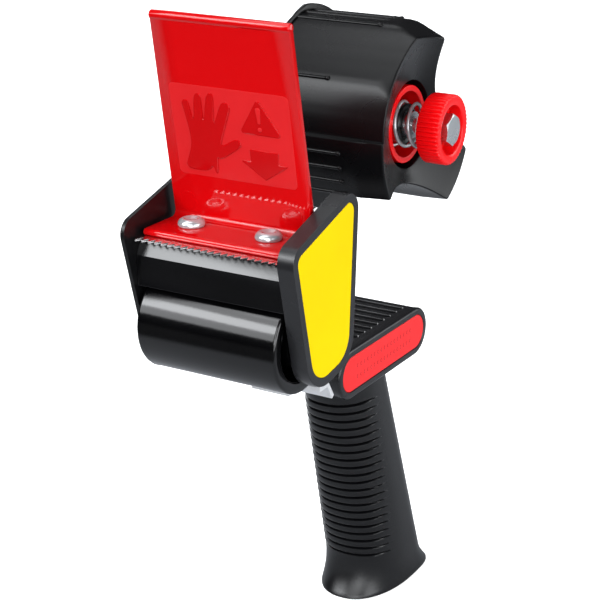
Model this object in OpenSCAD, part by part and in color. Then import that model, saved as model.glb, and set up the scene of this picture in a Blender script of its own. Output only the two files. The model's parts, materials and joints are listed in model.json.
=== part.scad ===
// Hand-held packing tape dispenser with a pistol grip.
// Millimetres, +Z up. X is across the tape, -Y is the front where the tape is cut.
// The origin is the middle of the flat foot of the handle.

/* [Tape] */
// Widest tape that the head takes
tape_w = 50; // [44:1:56]
// Inner diameter of the tape core that the hub fills
core_d = 76.6; // [72:0.5:80]

/* [Handle] */
// Height of the grip from its foot to the body
grip_h = 97.5; // [90:0.5:106]
// Width of the grip just under the body
grip_w = 27; // [25:0.2:30]
// Depth of the grip in front of its axis, just under the body
grip_front = 18.2; // [16:0.2:20]
// Depth of the grip behind its axis, just under the body
grip_back = 14; // [12:0.2:16]
// How much the grip widens down to its foot
grip_grow = 1.23; // [1.1:0.01:1.3]
// How far the front of the foot flares out
foot_toe = 9.6; // [7:0.2:11]
// How far the back of the foot flares out
foot_heel = 5; // [3:0.2:6]
// How far the sides of the foot flare out
foot_side = 0.8; // [0:0.1:2]
// Angle that the grip leans
grip_rake = 17; // [12:0.5:20]
// Number of finger grooves
groove_n = 20; // [16:1:22]
// Depth of a finger groove
groove_depth = 1.1; // [0.6:0.1:1.4]

/* [Body] */
// Length of the body block
body_len = 70; // [64:0.5:76]
// Height of the body block
body_h = 19; // [17:0.5:22]
// Width of the body block
body_w = 34; // [32:0.5:40]
// Body centre behind the grip axis
body_back = 4.4; // [2:0.2:7]
// Number of grooves in the thumb rest
thumb_n = 10; // [8:1:12]
// Plain border round the coloured inlay
inlay_edge = 2.8; // [2.2:0.1:3.4]

/* [Head] */
// Roller axis ahead of the body centre
head_fwd = 78.4; // [76:0.2:84]
// Roller axis above the body centre
head_up = 31.7; // [29:0.2:34]
// Roller diameter
roller_d = 35; // [34:0.2:37]
// Wall of the roller rim
roller_rim = 4.4; // [3:0.1:5]
// Free space between each roller end and the side
roller_gap = 1.5; // [1.2:0.1:2.5]
// Thickness of the steel frame plate
plate_t = 1.5; // [1.2:0.1:2]
// Thickness of the right side cover
cover_t = 6; // [5:0.2:8]
// Border of the side cover round its coloured panel
cover_edge = 3; // [2.4:0.1:3.6]
// Thickness of the coloured panel
panel_t = 1.2; // [0.8:0.1:1.6]
// Thickness of the zinc-plated bracket
sheet_t = 1.5; // [1.2:0.1:2]

/* [Cutter] */
// Number of blade teeth
tooth_n = 22; // [18:1:28]
// Depth of a blade tooth
tooth_depth = 2.9; // [1.6:0.1:3]
// Thickness of the blade
blade_t = 0.8; // [0.6:0.1:1.2]
// Thickness of the flap
flap_t = 2.4; // [2:0.1:3]
// Length of the upright of the flap
flap_h = 71.2; // [60:0.2:80]
// How much narrower each side of the flap is at its top
flap_draft = 0.9; // [0:0.1:2]
// Forward lean of the flap
flap_lean = 11; // [8:0.5:14]
// Distance between the flap screws
screw_pitch = 30; // [26:0.5:34]

/* [Hub] */
// Hub axis behind the roller axis
hub_back = 93.8; // [90:0.2:98]
// Hub axis above the roller axis
hub_up = 52.3; // [49:0.2:56]
// Angle of the top lobe, from the back towards the top
lobe_at = 86; // [80:1:92]
// Angle from the top lobe to the front lobe
lobe_front = 110; // [104:1:116]
// Angle from the top lobe to the rear lobe
lobe_rear = 231; // [223:1:234]
// Half of the angle that a lobe covers
lobe_half = 17.5; // [15:0.5:20]
// Depth of the dished hub end
dish = 9.2; // [8:0.2:11]

/* [Brake] */
// Knob diameter
knob_d = 25.6; // [24:0.2:28]
// Knob thickness
knob_t = 9; // [8:0.2:10]
// Number of knob ribs
knob_n = 48; // [36:2:56]
// Turns of the spring
coil_n = 3; // [2:1:6]
// Spring wire diameter
wire_d = 1.4; // [1.2:0.1:1.6]
// Outer diameter of the spring at the cup
spring_d = 18.4; // [18:0.2:19]
// How much narrower the spring is at the knob
spring_taper = 1.8; // [0:0.2:2.4]

/* [Hidden] */
$fn = 48;
run = 0.05;
sit = 0.02;
foot_h = 16;

body_z = grip_h + body_h / 2;
body_y = body_back - body_z * tan(grip_rake);
roll_y = body_y - head_fwd;
roll_z = body_z + head_up;
hub_y = roll_y + hub_back;
hub_z = roll_z + hub_up;

rr = roller_d / 2 - 0.5;
roller_half = tape_w / 2 + 2;
in_x = roller_half + roller_gap;
plate_x = in_x + plate_t;
axle_r = 4;
bar_top = rr + 13.5;
bar_screw = [-3, rr + 8.7];
ear_screw = [13.5, 14 - rr];
pan_z = -(rr + 2);
pan_screw = 10.8;
ear_top = ear_screw[1] + 3.6;
flap_z = bar_top + blade_t;
flap_front = -12;
flap_foot = 7.2;
flap_half = tape_w / 2 + 2;
screw_y = -1;
blade_half = in_x - 0.4;
floor_x = in_x + cover_t - panel_t;
tongue_drop = sheet_t / 2 - pan_z - head_up;
tongue_y = 15 - tongue_drop * 1.5;
tongue_end = head_fwd - body_len / 2 + 48;
tongue_half = 12;

hub_r = core_d / 2;
rib_r = 0.7;
lobe_r = hub_r - 0.6;
valley_r = hub_r * 0.566;
rear_r = hub_r * 0.53;
lead_in = 14;
panel_r = lobe_r - 2.2;
lobes = [lobe_at, lobe_at + lobe_front, lobe_at + lobe_rear];
hub_left = 0.6 - tape_w / 2 - 3;
hub_tip = tape_w / 2 + 1.5;
dish_x = hub_tip - dish;
cup_r = 14.3;
boss_r = 6.9;
hole_r = cup_r + 1.9;
disc_x = dish_x - 14;
cup_x = disc_x + 1.2;
cup_floor = cup_x + 2.6;
cup_end = dish_x - 0.7;
hub_floor = disc_x - 0.3;
knob_x = cup_end + 9;
washer_t = 1.4;
spring_end = knob_x - washer_t;
shaft_r = 5;
shaft_end = cup_end + 2.4;
bolt_r = 3;
bush_r = 7;
recess_r = knob_d / 2 - 3.9;
recess_x = knob_x + 3;

// Spring line: turns, with a straight lead of one wire diameter at each end
coil_r0 = (spring_d - wire_d) / 2;
coil_rise = (spring_end - cup_floor) / coil_n / (2 * PI * coil_r0);
coil_x0 = cup_floor + wire_d * (0.433 + coil_rise) - sit;
coil_x1 = spring_end - wire_d / 2 - 0.2;
coil_r1 = coil_r0 - spring_taper / 2;
rings = ceil(coil_n * 8);
function coil_r(u) = coil_r0 + (coil_r1 - coil_r0) * u;
function coil_at(u) = [
  coil_x0 + (coil_x1 - coil_x0) * u,
  coil_r(u) * cos(360 * coil_n * u),
  coil_r(u) * sin(360 * coil_n * u)
];
function coil_way(u) = coil_at(u + 0.001) - coil_at(u - 0.001);
function unit(v) = v / norm(v);
coil_pts = concat(
  [coil_at(0) - wire_d * unit(coil_way(0))],
  [for (i = [0:rings]) coil_at(i / rings)],
  [coil_at(1) + wire_d * unit(coil_way(1))]
);
coil_dirs = concat(
  [unit(coil_way(0))],
  [for (i = [0:rings]) unit(coil_way(i / rings))],
  [unit(coil_way(1))]
);
function coil_side(i) = unit(cross([1, 0, 0], coil_dirs[i]));
function coil_up(i) = cross(coil_dirs[i], coil_side(i));
coil_last = len(coil_pts) - 1;
coil_gap = min([
  for (i = [0:coil_last]) for (j = [i + 5:1:coil_last])
    norm(coil_pts[i] - coil_pts[j]) - wire_d
]);
echo(spring_least_gap = coil_gap);

// Grip rings: height, inset of the bottom edge, groove or not
groove_z0 = foot_h + 2;
groove_z1 = grip_h - 9;
pitch = (groove_z1 - groove_z0) / groove_n;
ring_rows = concat(
  [[0, 1.5, 0], [0.8, 0.4, 0], [2, 0, 0], [4.5, 0, 0], [7, 0, 0], [9.5, 0, 0], [12.5, 0, 0]],
  [[foot_h, 0, 0]],
  [for (i = [0:groove_n - 1]) for (k = [0:2])
    [groove_z0 + (i + [0.1, 0.72, 0.91][k]) * pitch, 0, k == 2 ? 1 : 0]],
  [[groove_z1 + 1, 0, 0], [grip_h, 0, 0]]
);
sides = 28;
function grow(z) = 1 + (grip_grow - 1) * (1 - z / grip_h);
function toe(z) = foot_toe * pow(max(0, 1 - z / (foot_h + 2)), 2);
function heel(z) = pow(max(0, 1 - z / 9), 1.5);
// Round in front, boxy at the back; the grooves run out along the sides
function power(a) = sin(a) < 0 ? 0.87 : 0.58;
function fade(a, z) = max(0, min(1, (0.46 * z / grip_h - 0.485 - sin(a)) / 0.4));
function cut(row, a) = row[1] + row[2] * groove_depth * fade(a, row[0]);
function half_x(row, a) = grip_w / 2 * grow(row[0]) + foot_side * heel(row[0]) - cut(row, a);
function half_y(row, a) =
  (sin(a) < 0 ? grip_front * grow(row[0]) + toe(row[0])
    : grip_back * grow(row[0]) + foot_heel * heel(row[0])) - cut(row, a);
function grip_pt(row, a) = [
  half_x(row, a) * sign(cos(a)) * pow(abs(cos(a)), power(a)),
  half_y(row, a) * sign(sin(a)) * pow(abs(sin(a)), power(a)) - row[0] * tan(grip_rake),
  row[0]
];

module xcyl(r, x0, x1)
  translate([x0, 0, 0]) rotate([0, 90, 0]) cylinder(r = r, h = x1 - x0);

module xring(ro, ri, x0, x1)
  difference() {
    xcyl(ro, x0, x1);
    xcyl(ri, x0 - 1, x1 + 1);
  }

// Extrudes a drawing in (Y, Z) along X
module yz(x0, x1)
  translate([x0, 0, 0]) rotate([90, 0, 90]) linear_extrude(x1 - x0) children();

module at_roller() translate([0, roll_y, roll_z]) children();
module at_hub() translate([0, hub_y, hub_z]) children();
module at_body() translate([0, body_y, body_z]) children();
module at(p) translate([0, p[0], p[1]]) children();

// Rounded side outline of the head, about the roller axis
module head_outline(g)
  hull() {
    translate([4.8 - rr, bar_top + 1.3]) circle(6.2 + g);
    translate([2.6, 15.1 - rr]) circle(12.5 + g);
    translate([8.6, 16.6 - rr]) circle(12.9 + g);
    translate([rr + 0.2, bar_top + 10.2]) circle(6.5 + g);
  }

module stadium(l, h)
  hull() {
    translate([-(l - h) / 2, 0]) circle(h / 2);
    translate([(l - h) / 2, 0]) circle(h / 2);
  }

module frame_plate() color([0.06, 0.06, 0.07]) at_roller()
  difference() {
    union() {
      yz(-plate_x, -in_x) {
        hull() {
          translate([2 - rr, bar_top + 2.5]) circle(5.5);
          translate([1.8, 8.2 - rr]) circle(10.5);
          translate([rr - 3.5, -2]) circle(10.8);
          translate([rr + 3, bar_top + 12]) circle(5.8);
        }
        hull() {
          translate([8, bar_top - 4]) circle(14);
          translate([hub_back, hub_up]) circle(15);
        }
      }
      translate([-in_x - 0.5, 8, pan_z]) cube([in_x + 14.5, 8, sheet_t]);
    }
    xcyl(axle_r + sit, -plate_x - 1, 0 - in_x + 1);
    at(bar_screw) xcyl(2 + sit, -plate_x - 1, 1 - in_x);
    translate([0, hub_back, hub_up]) xcyl(shaft_r + sit, -plate_x - 1, 1 - in_x);
    translate([10, pan_screw, pan_z - 1]) cylinder(r = 1.5 + sit, h = sheet_t + 2);
    translate([-16, 12.5, pan_z - 1]) cylinder(r = 1.5 + sit, h = sheet_t + 2);
  }

module base_bracket() color([0.75, 0.76, 0.78]) at_roller() translate([0, 0, pan_z])
  difference() {
    union() {
      translate([-in_x, 9, -sheet_t]) cube([2 * in_x, 6, sheet_t]);
      yz(8, in_x)
        polygon([[13, 0], [15, 0], [18.7, -5.9], [17.4, -6.8], [14.2, -sheet_t], [13, -sheet_t]]);
      yz(-tongue_half, tongue_half)
        polygon([
          [15, 0], [tongue_y, tongue_drop], [tongue_end, tongue_drop],
          [tongue_end, tongue_drop - sheet_t], [tongue_y - 0.8, tongue_drop - sheet_t],
          [14.2, -sheet_t]
        ]);
      translate([7, 0.5, -sheet_t]) cube([roller_half - 12.5, 9, sheet_t]);
      yz(in_x - sheet_t, in_x)
        polygon([
          [9, -sheet_t], [14.2, -sheet_t], [ear_screw[0] + 3.6, ear_top - pan_z],
          [ear_screw[0] - 3.6, ear_top - pan_z], [9, 0]
        ]);
    }
    translate([10, pan_screw, -sheet_t - 1]) cylinder(r = 1.5 + sit, h = sheet_t + 2);
    translate([-16, 12.5, -sheet_t - 1]) cylinder(r = 1.5 + sit, h = sheet_t + 2);
    translate([0, ear_screw[0], ear_screw[1] - pan_z]) xcyl(2 + sit, in_x - 4, in_x + 1);
    translate([0, head_fwd - body_back, tongue_drop]) rotate([grip_rake, 0, 0])
      cylinder(r = bolt_r + 0.3, h = 12, center = true);
  }

module bracket_screw() color([0.2, 0.2, 0.21]) at_roller() translate([10, pan_screw, pan_z])
  union() {
    translate([0, 0, -sheet_t - 2]) cylinder(r = 2.7, h = 2);
    translate([0, 0, -sheet_t - 0.5]) cylinder(r = 1.5, h = 2 * sheet_t + 0.5);
  }

module bracket_rivet() color([0.75, 0.76, 0.78]) at_roller() translate([-16, 12.5, pan_z])
  union() {
    translate([0, 0, -sheet_t - 0.9]) cylinder(r = 2.4, h = 0.9);
    translate([0, 0, -sheet_t - 0.5]) cylinder(r = 1.5, h = 2 * sheet_t + 0.5);
    translate([0, 0, sheet_t]) cylinder(r = 2.4, h = 0.7);
  }

module right_cover() color([0.07, 0.07, 0.08]) at_roller()
  difference() {
    yz(in_x, in_x + cover_t) head_outline(0);
    yz(floor_x, floor_x + panel_t + 1) head_outline(-cover_edge);
    xcyl(axle_r + sit, in_x - 1, in_x + 3);
    at(bar_screw) {
      xcyl(2 + sit, in_x - 1, floor_x + 1);
      xcyl(3.6, floor_x - 2, floor_x + 1);
    }
    at(ear_screw) {
      xcyl(2 + sit, in_x - 1, floor_x + 1);
      xcyl(3.6, floor_x - 2, floor_x + 1);
    }
  }

module yellow_panel() color([1, 0.86, 0]) at_roller()
  yz(floor_x, floor_x + panel_t) head_outline(-cover_edge - 0.08);

module side_screw(x0, tip)
  union() {
    xcyl(3.5, x0 - 2, x0);
    xcyl(2, tip, x0 - 1);
  }

module cover_screw_bar() color([0.6, 0.6, 0.62]) at_roller() at(bar_screw)
  side_screw(floor_x, in_x - 9);

module cover_screw_ear() color([0.6, 0.6, 0.62]) at_roller() at(ear_screw)
  side_screw(floor_x, in_x - sheet_t);

module bar_screw_left() color([0.6, 0.6, 0.62]) at_roller() at(bar_screw)
  difference() {
    union() {
      xcyl(4, -plate_x - 2.4, -plate_x);
      xcyl(2, -plate_x - 1, 9 - in_x);
    }
    xcyl(1.6, -plate_x - 3, -plate_x - 1.2, $fn = 24);
  }

module blade_bar() color([0.06, 0.06, 0.07]) at_roller()
  difference() {
    yz(-in_x, in_x)
      polygon([
        [3 - rr, rr - 2.7], [3 - rr, rr + 8], [5.2 - rr, bar_top], [6, bar_top],
        [6, bar_top - 6.5], [-7, rr + 2.5]
      ]);
    at(bar_screw) {
      xcyl(2 + sit, in_x - 10, in_x + 1);
      xcyl(2 + sit, -in_x - 1, 10 - in_x);
    }
    for (s = [-1, 1])
      translate([s * screw_pitch / 2, screw_y, bar_top - 7]) cylinder(r = 2 + sit, h = 8);
  }

module blade() color([0.8, 0.81, 0.83]) at_roller() translate([0, 0, bar_top])
  difference() {
    linear_extrude(blade_t)
      polygon(concat(
        [for (i = [0:2 * tooth_n])
          [-blade_half + i * blade_half / tooth_n, flap_front - 4.8 + (i % 2 == 0 ? tooth_depth : 0)]],
        [[blade_half, 4], [-blade_half, 4]]
      ));
    for (s = [-1, 1])
      translate([s * screw_pitch / 2, screw_y, -1]) cylinder(r = 2 + sit, h = blade_t + 2);
  }

module tape_flap() color([0.85, 0.03, 0.03]) at_roller() translate([0, 0, flap_z])
  difference() {
    intersection() {
      union() {
        yz(-flap_half, flap_half)
          polygon([
            [flap_front + flap_t * 0.4, 0], [flap_front + flap_t * 0.4, flap_t],
            [flap_foot, flap_t],
            [flap_foot - flap_h * sin(flap_lean), flap_t + flap_h * cos(flap_lean)],
            [flap_foot + flap_t / cos(flap_lean) - flap_h * sin(flap_lean),
              flap_t + flap_h * cos(flap_lean)],
            [flap_foot + flap_t / cos(flap_lean), flap_t],
            [flap_foot + flap_t / cos(flap_lean), 0]
          ]);
        at([flap_front + flap_t / 2, flap_t / 2]) xcyl(flap_t / 2, -flap_half, flap_half);
        at([flap_foot + flap_t / 2 - flap_h * sin(flap_lean), flap_t + flap_h * cos(flap_lean)])
          xcyl(flap_t * 0.68, -flap_half, flap_half);
      }
      translate([0, 50, 0]) rotate([90, 0, 0]) linear_extrude(100)
        polygon([
          [-flap_half, -1], [flap_half, -1], [flap_half, flap_t],
          [flap_half - flap_draft, flap_h + 9], [flap_draft - flap_half, flap_h + 9],
          [-flap_half, flap_t]
        ]);
    }
    translate([0, flap_foot, flap_t]) rotate([flap_lean, 0, 0])
      translate([4.6 - flap_half, -4, flap_h * 0.233]) cube([2 * flap_half - 9.2, 4.35, flap_h * 0.452]);
    for (s = [-1, 1])
      translate([s * screw_pitch / 2, screw_y, -1]) cylinder(r = 2 + sit, h = flap_t + 2);
  }

module flap_screw(s)
  at_roller() translate([s * screw_pitch / 2, screw_y, flap_z + flap_t])
    difference() {
      union() {
        cylinder(r = 4.65, h = 1.3);
        translate([0, 0, 1.3]) cylinder(r1 = 4.65, r2 = 3.1, h = 2.1);
        translate([0, 0, -flap_t - blade_t - 6]) cylinder(r = 2, h = flap_t + blade_t + 7);
      }
      translate([0, 0, 2.2]) cylinder(r = 1.7, h = 3, $fn = 24);
    }

module flap_screw_left() color([0.8, 0.8, 0.82]) flap_screw(-1);
module flap_screw_right() color([0.8, 0.8, 0.82]) flap_screw(1);

module roller() color([0.07, 0.07, 0.08]) at_roller()
  difference() {
    xcyl(roller_d / 2, -roller_half, roller_half, $fn = 96);
    xcyl(roller_d / 2 - roller_rim, roller_half - 8, roller_half + 1);
    xcyl(roller_d / 2 - roller_rim, -roller_half - 1, 8 - roller_half);
    xcyl(axle_r + 2, -roller_half, roller_half);
  }

module roller_bush(s)
  at_roller() mirror([s < 0 ? 1 : 0, 0, 0])
    xring(axle_r + 2 - sit, axle_r + run, 8, in_x - 0.6);

module roller_bush_left() color([0.75, 0.73, 0.68]) roller_bush(-1);
module roller_bush_right() color([0.75, 0.73, 0.68]) roller_bush(1);

module roller_axle() color([0.7, 0.7, 0.72]) at_roller()
  xcyl(axle_r, -plate_x - 2.6, in_x + 3);

module axle_clip() color([0.3, 0.3, 0.31]) at_roller()
  xring(7, axle_r + sit, -plate_x - 1.2, -plate_x);

module body_housing() color([0.07, 0.07, 0.08]) at_body()
  difference() {
    yz(-body_w / 2, body_w / 2) stadium(body_len, body_h);
    for (i = [0:thumb_n - 1])
      translate([
        5 - body_w / 2,
        (i + 0.5 - thumb_n / 2) * (body_len - body_h) / thumb_n - 1.4,
        body_h / 2 - 1.3
      ]) cube([body_w - 10, 2.8, 3]);
    for (s = [-1, 1])
      translate([s * body_w / 2, 0, 0])
        yz(-1.5, 1.5) stadium(body_len - 2 * inlay_edge, body_h - 2 * inlay_edge);
    translate([-tongue_half - sit, -body_len, -sheet_t / 2 - sit])
      cube([2 * tongue_half + 2 * sit, body_len / 2 + 48, sheet_t + 2 * sit]);
    translate([0, -body_back, 0]) rotate([grip_rake, 0, 0]) translate([0, 0, -body_h])
      cylinder(r = bolt_r + sit, h = body_h + 4);
  }

module side_inlay(s)
  at_body() mirror([s < 0 ? 1 : 0, 0, 0])
    yz(body_w / 2 - 1.5, body_w / 2 - 0.1)
      stadium(body_len - 2 * inlay_edge - 0.1, body_h - 2 * inlay_edge - 0.1);

module side_inlay_right() color([0.9, 0.08, 0.08]) side_inlay(1);
module side_inlay_left() color([0.9, 0.08, 0.08]) side_inlay(-1);

// A cylinder along the raked grip axis, cut level at both ends
module rake_cyl(r, z0, z1)
  intersection() {
    rotate([grip_rake, 0, 0]) translate([0, 0, z0 / cos(grip_rake) - 10])
      cylinder(r = r, h = (z1 - z0) / cos(grip_rake) + 20);
    translate([-50, -150, z0]) cube([100, 300, z1 - z0]);
  }

module handle_core() color([0.1, 0.1, 0.1])
  difference() {
    rake_cyl(8, 0, grip_h);
    rotate([grip_rake, 0, 0]) {
      translate([0, 0, -5]) cylinder(r = 5.6, h = 13);
      translate([0, 0, -5]) cylinder(r = bolt_r + sit, h = grip_h + 30);
    }
  }

module handle_grip() color([0.08, 0.08, 0.09])
  difference() {
    polyhedron(
      points = [for (row = ring_rows) for (j = [0:sides - 1]) grip_pt(row, j * 360 / sides)],
      faces = concat(
        [[for (j = [0:sides - 1]) j]],
        [for (i = [0:len(ring_rows) - 2]) for (j = [0:sides - 1])
          [i * sides + j, (i + 1) * sides + j, i * sides + (j + 1) % sides]],
        [for (i = [0:len(ring_rows) - 2]) for (j = [0:sides - 1])
          [(i + 1) * sides + j, (i + 1) * sides + (j + 1) % sides, i * sides + (j + 1) % sides]],
        [[for (j = [sides - 1:-1:0]) (len(ring_rows) - 1) * sides + j]]
      )
    );
    rotate([grip_rake, 0, 0]) translate([0, 0, -20]) cylinder(r = 8 + sit, h = grip_h + 50);
  }

module handle_bolt() color([0.7, 0.7, 0.72]) rotate([grip_rake, 0, 0])
  difference() {
    union() {
      translate([0, 0, 3]) cylinder(r = 5, h = 5);
      translate([0, 0, 4]) cylinder(r = bolt_r, h = (grip_h + body_h / 2) / cos(grip_rake));
    }
    translate([0, 0, 2]) cylinder(r = 2.5, h = 4, $fn = 6);
  }

module foot_plug() color([0.09, 0.09, 0.1])
  intersection() {
    rotate([grip_rake, 0, 0]) translate([0, 0, -6]) cylinder(r = 5.6 - sit, h = 9);
    translate([-20, -20, 0]) cube(40);
  }

// Lobed hub section: three lobes, two scoops and one shallow closed side
function scoop_c(h, v) = (lobe_r * lobe_r - v * v) / (2 * (lobe_r * cos(h) - v));
module scoop(from, to, v)
  rotate((from + to) / 2) translate([scoop_c((to - from) / 2 - lobe_half, v), 0])
    circle(scoop_c((to - from) / 2 - lobe_half, v) - v, $fn = 180);

module hub_section()
  difference() {
    circle(lobe_r, $fn = 120);
    scoop(lobes[1], lobes[2], valley_r);
    scoop(lobes[2], lobes[0] + 360, rear_r);
    difference() {
      polygon([
        [0, 0], 90 * [cos(lobes[0] + lobe_half), sin(lobes[0] + lobe_half)],
        90 * [cos((lobes[0] + lobes[1]) / 2), sin((lobes[0] + lobes[1]) / 2)],
        90 * [cos(lobes[1] - lobe_half), sin(lobes[1] - lobe_half)]
      ]);
      circle(panel_r, $fn = 120);
    }
  }

module hub() color([0.07, 0.07, 0.08]) at_hub()
  difference() {
    union() {
      intersection() {
        yz(hub_left, hub_tip) hub_section();
        union() {
          xcyl(hub_r + 9, hub_left - 1, hub_tip - 12, $fn = 64);
          translate([hub_tip - 12.01, 0, 0]) rotate([0, 90, 0])
            cylinder(r1 = lobe_r, r2 = lobe_r - 1.8, h = 13, $fn = 120);
        }
      }
      xcyl(hub_r + 1.8, hub_left, hub_left + 2, $fn = 96);
      xcyl(panel_r - 0.2, hub_left + 12, hub_left + 14, $fn = 96);
      for (m = lobes) for (k = [-1.5:1:1.5])
        rotate([m + k * 8.5 + 2.5, 0, 0]) translate([0, hub_r - rib_r, 0])
          xcyl(rib_r, hub_left + 1, hub_tip - 17, $fn = 16);
    }
    translate([dish_x, 0, 0]) rotate([0, 90, 0])
      cylinder(r1 = hole_r, r2 = hole_r + (dish + 2) * (hub_r - hole_r) / dish, h = dish + 2, $fn = 96);
    rotate([lobe_at - 90, 0, 0]) translate([hub_tip - lead_in, -30, lobe_r]) rotate([0, 25, 0])
      cube([lead_in + 10, 60, 20]);
    xcyl(hole_r, hub_floor, hub_tip);
    xcyl(bush_r, hub_left - 1, hub_floor + 1);
    for (m = lobes) rotate([m, 0, 0]) translate([0, hub_r * 0.66, 0])
      xcyl(6.5, hub_left - 1, hub_floor - 2);
  }

module hub_bush() color([0.75, 0.73, 0.68]) at_hub()
  xring(bush_r - sit, shaft_r + run, hub_left, hub_floor);

module hub_axle() color([0.7, 0.7, 0.72]) at_hub()
  difference() {
    union() {
      xcyl(shaft_r, -plate_x - 7.5, shaft_end);
      xcyl(9, -in_x, hub_left - 0.4);
    }
    xcyl(bolt_r + run, -6, shaft_end + 1);
  }

module axle_nut() color([0.75, 0.76, 0.78]) at_hub()
  difference() {
    xcyl(9.2, -plate_x - 6, -plate_x, $fn = 6);
    xcyl(shaft_r + sit, -plate_x - 7, 1 - plate_x);
  }

module friction_disc() color([0.35, 0.3, 0.24]) at_hub()
  xring(cup_r - 1.3, shaft_r + sit, disc_x, cup_x);

module brake_cup() color([0.85, 0.03, 0.03]) at_hub()
  difference() {
    xcyl(cup_r, cup_x, cup_end);
    xring(cup_r - 2.2, boss_r, cup_floor, cup_end + 1);
    xcyl(boss_r + 1, cup_end - 1.4, cup_end + 1);
    xcyl(shaft_r + sit, cup_x - 1, cup_end + 1);
  }

module tension_spring() color([0.8, 0.8, 0.82]) at_hub()
  polyhedron(
    points = [for (i = [0:coil_last]) for (k = [0:5])
      coil_pts[i] + wire_d / 2 * (cos(60 * k) * coil_side(i) + sin(60 * k) * coil_up(i))],
    faces = concat(
      [[5, 4, 3, 2, 1, 0]],
      [for (i = [0:coil_last - 1]) for (k = [0:5])
        [i * 6 + k, i * 6 + (k + 1) % 6, (i + 1) * 6 + k]],
      [for (i = [0:coil_last - 1]) for (k = [0:5])
        [i * 6 + (k + 1) % 6, (i + 1) * 6 + (k + 1) % 6, (i + 1) * 6 + k]],
      [[for (k = [0:5]) coil_last * 6 + k]]
    )
  );

module spring_washer() color([0.8, 0.8, 0.82]) at_hub()
  xring(coil_r1 + wire_d, bolt_r + run, spring_end, knob_x);

module tension_knob() color([0.85, 0.03, 0.03]) at_hub()
  difference() {
    yz(knob_x, knob_x + knob_t)
      polygon([for (i = [0:4 * knob_n - 1])
        (knob_d / 2 - (i % 4 < 2 ? 0 : 0.7)) * [cos(i * 90 / knob_n), sin(i * 90 / knob_n)]]);
    xcyl(recess_r, recess_x, knob_x + knob_t + 1);
    xcyl(bolt_r + sit, knob_x - 1, recess_x + 1);
  }

module knob_bolt() color([0.78, 0.79, 0.8]) at_hub()
  union() {
    xcyl(bolt_r, 0, recess_x + 1);
    xcyl(6, recess_x, recess_x + 6.6, $fn = 6);
  }

frame_plate();
base_bracket();
bracket_screw();
bracket_rivet();
right_cover();
yellow_panel();
cover_screw_bar();
cover_screw_ear();
bar_screw_left();
blade_bar();
blade();
tape_flap();
flap_screw_left();
flap_screw_right();
roller();
roller_bush_left();
roller_bush_right();
roller_axle();
axle_clip();
body_housing();
side_inlay_right();
side_inlay_left();
handle_core();
handle_grip();
handle_bolt();
foot_plug();
hub();
hub_bush();
hub_axle();
axle_nut();
friction_disc();
brake_cup();
tension_spring();
spring_washer();
tension_knob();
knob_bolt();
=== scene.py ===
import bpy
import json
import math
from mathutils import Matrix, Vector

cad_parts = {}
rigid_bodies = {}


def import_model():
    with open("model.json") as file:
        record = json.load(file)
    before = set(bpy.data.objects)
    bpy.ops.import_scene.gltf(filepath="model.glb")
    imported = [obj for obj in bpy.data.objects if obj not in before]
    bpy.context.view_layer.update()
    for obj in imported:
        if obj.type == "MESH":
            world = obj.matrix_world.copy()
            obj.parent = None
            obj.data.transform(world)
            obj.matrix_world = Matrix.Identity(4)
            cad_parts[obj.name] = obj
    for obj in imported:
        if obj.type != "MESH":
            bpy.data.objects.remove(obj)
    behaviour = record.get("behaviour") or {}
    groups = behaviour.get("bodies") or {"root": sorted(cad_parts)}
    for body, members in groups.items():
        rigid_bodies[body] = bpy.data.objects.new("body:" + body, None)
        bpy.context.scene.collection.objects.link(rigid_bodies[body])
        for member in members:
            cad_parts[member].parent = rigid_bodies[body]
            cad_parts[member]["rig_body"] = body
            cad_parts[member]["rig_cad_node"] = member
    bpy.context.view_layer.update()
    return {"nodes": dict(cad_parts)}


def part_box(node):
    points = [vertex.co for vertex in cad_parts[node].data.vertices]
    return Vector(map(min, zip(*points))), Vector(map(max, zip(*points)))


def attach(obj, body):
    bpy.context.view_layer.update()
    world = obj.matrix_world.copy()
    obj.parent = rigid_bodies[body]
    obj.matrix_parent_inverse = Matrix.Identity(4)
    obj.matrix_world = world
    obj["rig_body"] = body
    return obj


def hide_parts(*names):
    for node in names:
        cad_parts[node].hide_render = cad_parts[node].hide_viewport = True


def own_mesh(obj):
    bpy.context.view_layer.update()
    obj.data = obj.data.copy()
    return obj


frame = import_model()

# Studio. A floor that the camera sees as white paper, and whose colour for reflections and
# bounce is a painted pool of light round the object, dark further out. A tall softbox with a
# bright core, in front on the left, draws the band along the roller, and broad ones all round
# fill in. The camera stands right of the front.
scene = bpy.context.scene
scene.view_settings.view_transform = "Standard"
bpy.ops.object.select_all(action="DESELECT")

look_down, look_round = 19.42, 30.403
bpy.ops.object.camera_add(location=(0.28668, -0.55082, 0.33478),
                          rotation=(math.radians(90 - look_down), 0, math.radians(look_round)))
camera = bpy.context.object
camera.data.sensor_fit = "HORIZONTAL"
camera.data.sensor_width = 36
camera.data.lens = 101.07
camera.data.clip_start = 0.01
scene.camera = camera

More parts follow.
